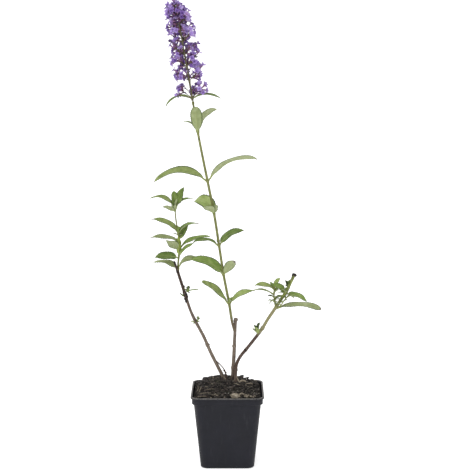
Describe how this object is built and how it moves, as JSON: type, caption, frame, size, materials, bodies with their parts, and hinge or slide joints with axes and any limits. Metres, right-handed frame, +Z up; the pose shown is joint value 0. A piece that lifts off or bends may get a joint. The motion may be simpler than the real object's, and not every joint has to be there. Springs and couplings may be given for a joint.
{
  "type": "potted butterfly bush",
  "caption": "Young butterfly bush in a black square nursery pot: short woody canes with small leafy shoots and a tall green stem with pairs of leaves and a purple flower panicle.",
  "frame": {"origin": "centre of the pot's flat underside, where it stands", "axes": "+Z up, the pot's front towards -Y, +X to the right seen from the front"},
  "size_m": [0.2133, 0.09, 0.5759],
  "materials": {
    "pot": "moulded black plastic, satin, scuffed at the lip",
    "peat": "damp dark peat with bark chips",
    "bark": "thin brown bark, finely cracked",
    "green_stem": "green stem with a pale felt",
    "leaf": "soft green blade, paler and felted beneath",
    "flower": "violet petals with a velvet sheen",
    "dry_wood": "dry bare twig"
  },
  "bodies": {
    "root": {"pot": "pot", "potting_soil": "peat", "cane_middle": "bark", "cane_left": "bark", "cane_right": "bark", "flowering_stem": "green_stem", "dry_twig": "dry_wood", "leaf_pair_1": "leaf", "leaf_pair_2": "leaf", "leaf_pair_3": "leaf", "leaf_pair_4": "leaf", "leaf_pair_5": "leaf", "leaf_pair_6": "leaf", "leaf_pair_right": "leaf", "leafy_shoot_left": "leaf", "leafy_shoot_right": "leaf", "bud_tuft_left_lower": "leaf", "bud_tuft_left_upper": "leaf", "bud_tuft_right": "leaf", "bud_tuft_right_tip": "leaf", "flower_panicle": "flower"}
  },
  "joints": []
}
